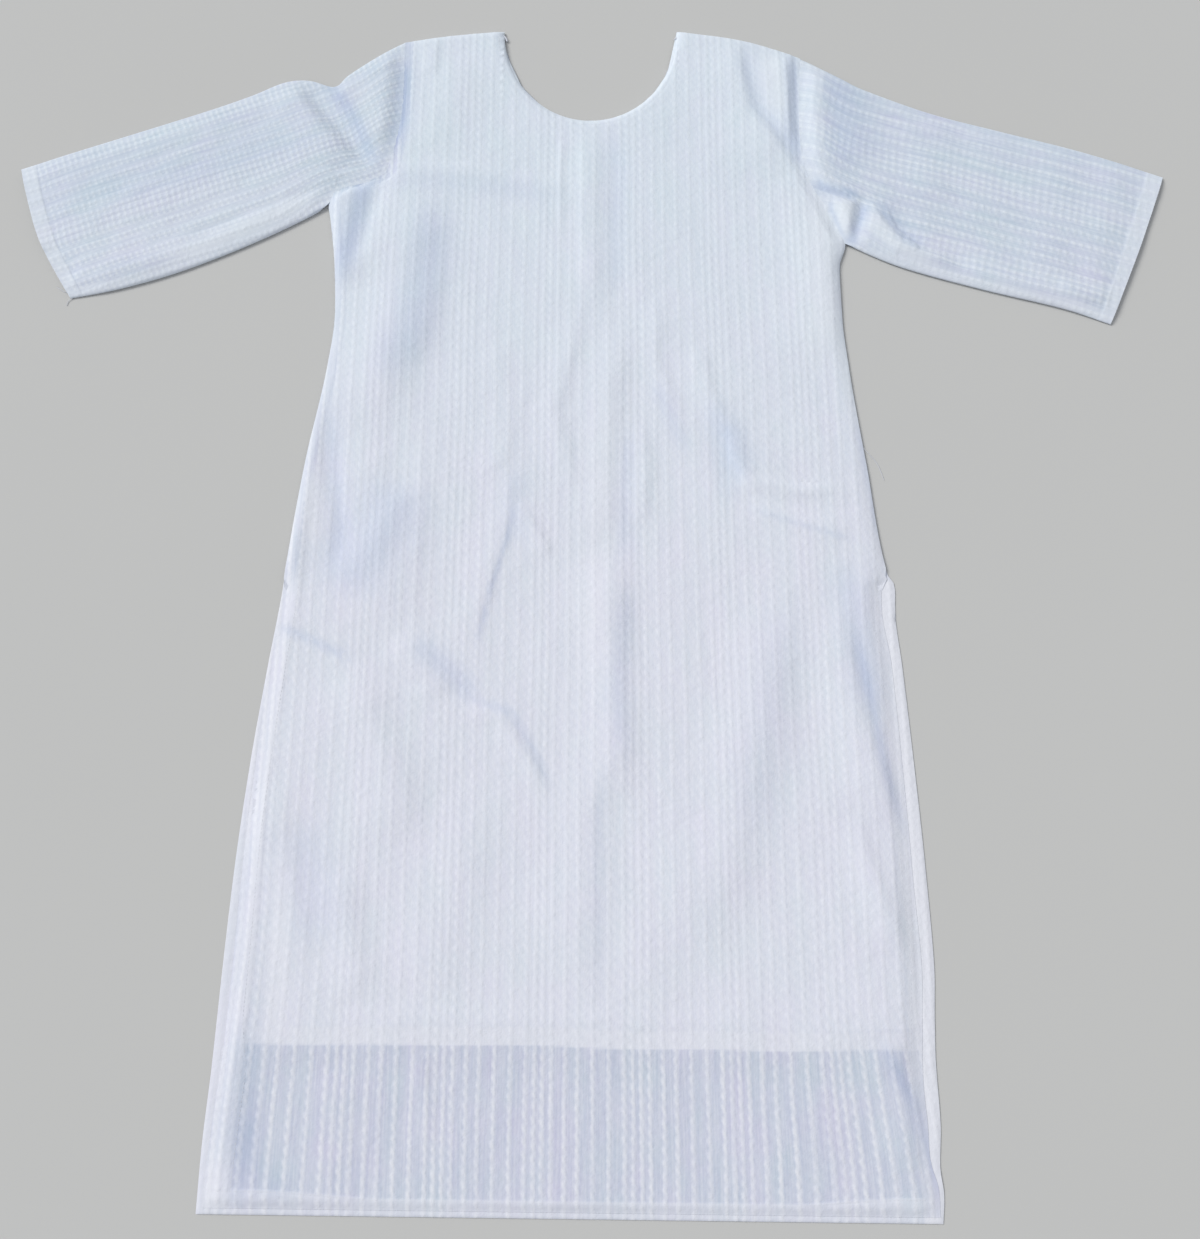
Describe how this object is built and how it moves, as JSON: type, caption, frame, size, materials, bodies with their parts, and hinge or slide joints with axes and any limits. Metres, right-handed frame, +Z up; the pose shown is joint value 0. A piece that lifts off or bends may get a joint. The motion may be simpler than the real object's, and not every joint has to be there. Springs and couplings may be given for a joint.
{
  "type": "kurti",
  "caption": "Straight knee-length kurti laid flat, with a round neck, elbow sleeves, side slits and a shorter lining, in puckered striped cotton.",
  "frame": {"origin": "centre of the laid garment, on the surface it lies on", "axes": "+Z up from the surface, +Y from the hem towards the neck, +X towards the right sleeve as seen from above"},
  "size_m": [1.0638, 1.0472, 0.013],
  "materials": {
    "striped_cloth": "pale blue-grey semi-sheer cotton with raised white puckered stripes",
    "lining_cloth": "plain white cotton lawn"
  },
  "bodies": {
    "root": {"back": "striped_cloth", "back_lining": "lining_cloth", "front_lining": "lining_cloth", "front": "striped_cloth", "sleeve_left": "striped_cloth", "sleeve_right": "striped_cloth"}
  },
  "joints": []
}
